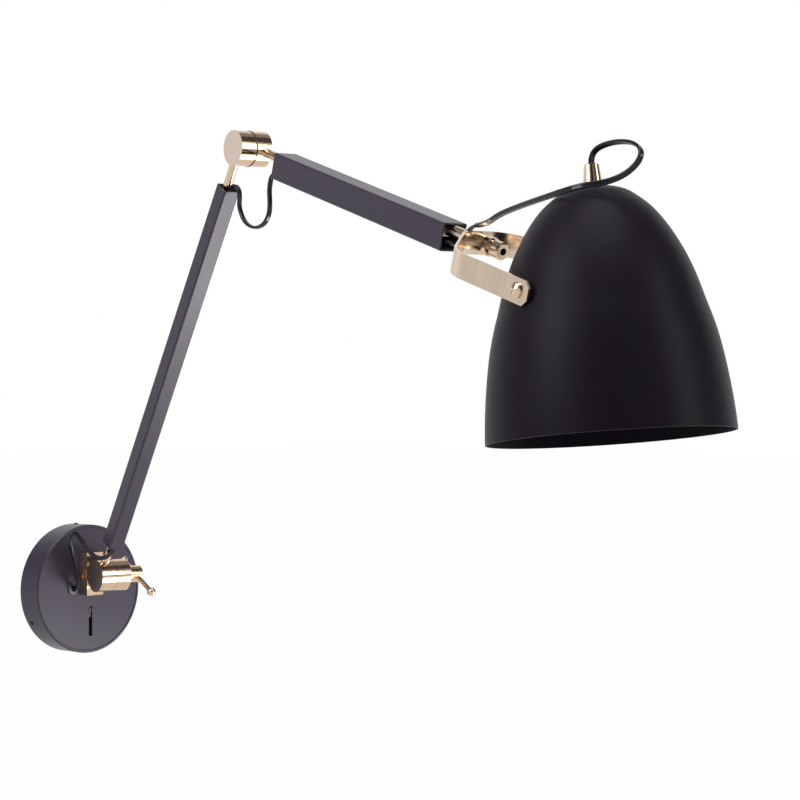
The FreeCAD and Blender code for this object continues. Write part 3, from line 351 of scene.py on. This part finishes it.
def flexMesh(name, line, lengths, s):
    section = flexSection(flex)
    n = len(section)
    last = len(line) - 1
    verts, faces = [], []
    side = Vector(s["width"]).normalized()
    for k, here in enumerate(line):
        ahead = (line[min(k + 1, last)] - line[max(k - 1, 0)]).normalized()
        side = (side - ahead * side.dot(ahead)).normalized()
        wideWay = Quaternion(ahead, twistAt(lengths[k] / lengths[-1], s["turns"])) @ side
        thickWay = ahead.cross(wideWay)
        verts += [here + wideWay * x + thickWay * y for x, y in section]
    for k in range(last):
        for i in range(n):
            j = (i + 1) % n
            faces.append((k * n + i, k * n + j, (k + 1) * n + j, (k + 1) * n + i))
    faces.append(tuple(reversed(range(n))))
    faces.append(tuple(last * n + i for i in range(n)))
    mesh = bpy.data.meshes.new(name)
    mesh.from_pydata(verts, [], faces)
    mesh.polygons.foreach_set("use_smooth", [True] * len(faces))
    mesh.materials.append(looks["cord_black"])
    return mesh


def makeFlexPiece(name, s):
    line = routeLine(s["route"])
    lengths = [0.0]
    for a, b in zip(line, line[1:]):
        lengths.append(lengths[-1] + (b - a).length)
    piece = bpy.data.objects.new("flex_" + name, flexMesh(name, line, lengths, s))
    bpy.context.scene.collection.objects.link(piece)
    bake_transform(piece)
    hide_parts(name)


# width is the way in which the flat flex is wide at its start, and turns are (share of length, degrees)
baseInner = {
    "bodies": ("wall_base", "swivel"), "width": (0.3, 0.2, 1.0), "turns": [(0, 0), (1, 60)],
    "route": [(-18.5, -25.0, 1.5), (-18.6, -29.6, 1.7), (-19.6, -33.6, 4.8), (-22.4, -37.8, 12.6),
              (-27.0, -41.0, 22.0), (-32.6, -44.2, 32.0), (-38.0, -47.2, 41.6), (-41.2, -49.6, 49.0),
              (-41.0, -52.0, 54.4), (-38.0, -54.6, 55.8), (-34.6, -56.6, 51.0), (-31.1, -58.9, 44.6)]}
baseOuter = {
    "bodies": ("swivel", "lower_arm"), "width": (0.3, 0.2, 1.0), "turns": [(0, 60), (1, 90)],
    "route": [(-31.1, -58.9, 44.6), (-27.6, -61.2, 38.2), (-24.2, -64.4, 33.6), (-20.4, -68.6, 31.6),
              (-16.4, -72.4, 32.8), (-10.66, -75.54, 38.54), (-11.01, -77.63, 42.41)]}
elbowLoop = {
    "bodies": ("lower_arm", "upper_arm"), "width": hingeAxis, "turns": [(0, 0), (1, 0)],
    "route": [(-45.06, -276.79, 357.13), (-45.4, -278.79, 360.11), (-45.9, -284.12, 361.2),
              (-46.11, -288.88, 357.45), (-45.39, -289.39, 351.03), (-44.38, -287.09, 344.27),
              (-44.4, -289.6, 337.0), (-44.6, -294.6, 329.6), (-45.0, -303.2, 324.8),
              (-46.0, -313.6, 323.8), (-46.8, -323.0, 327.4), (-46.8, -328.2, 335.6),
              (-45.8, -327.4, 345.2), (-44.65, -325.43, 353.49), (-44.36, -326.15, 360.6),
              (-44.45, -327.83, 365.53), (-44.78, -330.98, 367.71), (-45.3, -333.98, 367.43)]}
shadeInner = {
    "bodies": ("upper_arm", "yoke"), "width": hingeAxis, "turns": [(0, 0), (1, 30)],
    "route": [(-83.24, -566.65, 300.6), (-87.32, -583.38, 296.63), (-91.52, -590.14, 299.65),
              (-93.42, -596.54, 305.81), (-94.5, -604.03, 310.86), (-98.32, -611.5, 310.77)]}
shadeOuter = {
    "bodies": ("yoke", "shade"), "width": (0, 0, 1),
    "turns": [(0, 60), (0.22, 0), (0.62, 0), (0.8, 70), (1, 90)],
    "route": [(-98.32, -611.5, 310.77), (-102.13, -618.97, 310.68), (-109.93, -633.79, 311.57),
              (-115.8, -650.3, 316.5), (-123.6, -676.6, 320.6), (-133.2, -708.4, 324.6),
              (-139.4, -733.0, 328.0), (-136.0, -748.0, 331.0), (-126.8, -760.4, 332.8),
              (-120.9, -772.6, 338.4), (-118.0, -781.4, 347.0), (-115.0, -780.4, 355.0),
              (-112.4, -770.7, 360.3), (-109.5, -756.4, 362.2), (-107.2, -742.0, 361.4),
              (-106.2, -731.6, 358.4), (-105.61, -727.21, 352.42), (-105.69, -727.65, 348.44)]}
makeFlexPiece("base_cord_inner", baseInner)
makeFlexPiece("base_cord_outer", baseOuter)
makeFlexPiece("elbow_cord", elbowLoop)
makeFlexPiece("shade_cord_inner", shadeInner)
makeFlexPiece("shade_cord_outer", shadeOuter)

floorPlan = {"low": -1.1, "side": 60.0, "pale": (0.86, 0.86, 0.86), "cloudy": (0.8, 0.8, 0.8),
             "cloud": (2, 2), "cloudTint": 0.04, "rough": 0.9, "whiteShare": 0.985}


def makeFloor(s):
    # white to the eye and in reflections, and a pale matte surface to the light
    f = Finish("paleFloor", Roughness=s["rough"])
    f.paint(Base_Color=f.blend(f.noise(*s["cloud"]) * s["cloudTint"], s["pale"], s["cloudy"]))
    seen = (f.ray("Camera") + f.ray("Glossy") + f.ray("Transmission")).clipped()
    glow = f.node("ShaderNodeEmission", None, {"Color": (1, 1, 1), "Strength": 1.0})
    mix = f.node("ShaderNodeMixShader", None,
                 {0: seen * s["whiteShare"], 1: Sock(f, f.shader.outputs[0]), 2: glow})
    f.feed(f.tree.nodes["Material Output"].inputs["Surface"], mix)
    half = s["side"] / 2
    corners = ((-half, -half), (half, -half), (half, half), (-half, half))
    floorMesh = bpy.data.meshes.new("floor")
    floorMesh.from_pydata([(x, y, s["low"]) for x, y in corners], [], [(0, 1, 2, 3)])
    floorMesh.materials.append(f.mat)
    floor = bpy.data.objects.new("floor", floorMesh)
    bpy.context.scene.collection.objects.link(floor)


makeFloor(floorPlan)

# the studio has bright screens with dark gaps between them, which the brass shows as bands;
# a stop is (place, grey), right and away are level and seen from the camera
air = {"right": (0.702, -0.712, 0.0), "up": (0, 0, 1), "away": (0.712, 0.702, 0.0), "awayBand": (0.5, 0.7),
       "strength": 0.9, "blue": 1.02,
       "screens": [(0.0, 0.9), (0.3, 1.0), (0.36, 0.1), (0.5, 0.08), (0.56, 0.8), (0.72, 1.0),
                   (0.8, 0.15), (1.0, 0.45)],
       "heights": [(0.0, 0.25), (0.34, 0.3), (0.42, 0.9), (0.56, 1.0), (0.7, 0.25), (0.9, 0.4)]}


def makeAir(s):
    world = bpy.data.worlds.new("studioWorld")
    world.use_nodes = True
    bpy.context.scene.world = world
    b = Board(world.node_tree)
    direction = b.node("ShaderNodeTexCoord", out="Generated")
    ramps = []
    for stops, way in ((s["screens"], s["right"]), (s["heights"], s["up"])):
        greys = [(at, (grey, grey, grey * s["blue"])) for at, grey in stops]
        ramps.append(b.node("ShaderNodeValToRGB", {"stops": greys}, {0: b.along(way, direction) * 0.5 + 0.5}))
    both = b.blend(1.0, ramps[0], ramps[1], "MULTIPLY")
    behind = b.along(s["away"], direction).steps(*s["awayBand"])  # the white backdrop
    seen = (b.ray("Camera") + b.ray("Transmission") + b.ray("Glossy") * behind).clipped()
    lit = b.node("ShaderNodeBackground", None, {"Color": both, "Strength": s["strength"]})
    white = b.node("ShaderNodeBackground", None, {"Color": (1, 1, 1), "Strength": 1.0})
    b.feed(b.tree.nodes["World Output"].inputs["Surface"],
           b.node("ShaderNodeMixShader", None, {0: seen, 1: lit, 2: white}))


makeAir(air)

lampMiddle = (-0.07, -0.4, 0.22)
softBoxes = {
    "keyLeft": {"at": (-1.6, -0.2, 1.3), "aim": lampMiddle, "size": (0.9, 1.4), "power": 26},
    "topFill": {"at": (-0.3, -0.9, 1.9), "aim": lampMiddle, "size": (1.2, 1.2), "power": 18},
    "rightEdge": {"at": (0.6, -2.2, 0.9), "aim": lampMiddle, "size": (0.4, 1.4), "power": 12},
    "canopySheen": {"at": (0.45, -0.75, -0.4), "aim": (0.0, -0.02, -0.03), "size": (0.4, 0.4), "power": 7},
}
for name, s in softBoxes.items():
    light = bpy.data.lights.new(name, "AREA")
    light.shape = "RECTANGLE"
    light.size, light.size_y = s["size"]
    light.energy = s["power"]
    softBox = bpy.data.objects.new(name, light)
    softBox.location = s["at"]
    softBox.rotation_euler = (Vector(s["aim"]) - Vector(s["at"])).to_track_quat("-Z", "Y").to_euler()
    bpy.context.scene.collection.objects.link(softBox)

view = {"place": (-1.4180, -1.8331, 0.2007), "tip": 89.4, "turn": -45.4, "lens": 109.55, "sensor": 36}
camera = bpy.data.cameras.new("viewCamera")
camera.lens = view["lens"]
camera.sensor_width = view["sensor"]
cameraObject = bpy.data.objects.new("viewCamera", camera)
cameraObject.location = view["place"]
cameraObject.rotation_euler = (math.radians(view["tip"]), 0, math.radians(view["turn"]))
bpy.context.scene.collection.objects.link(cameraObject)
bpy.context.scene.camera = cameraObject
bpy.context.scene.view_settings.view_transform = "Standard"
print("studio ready")
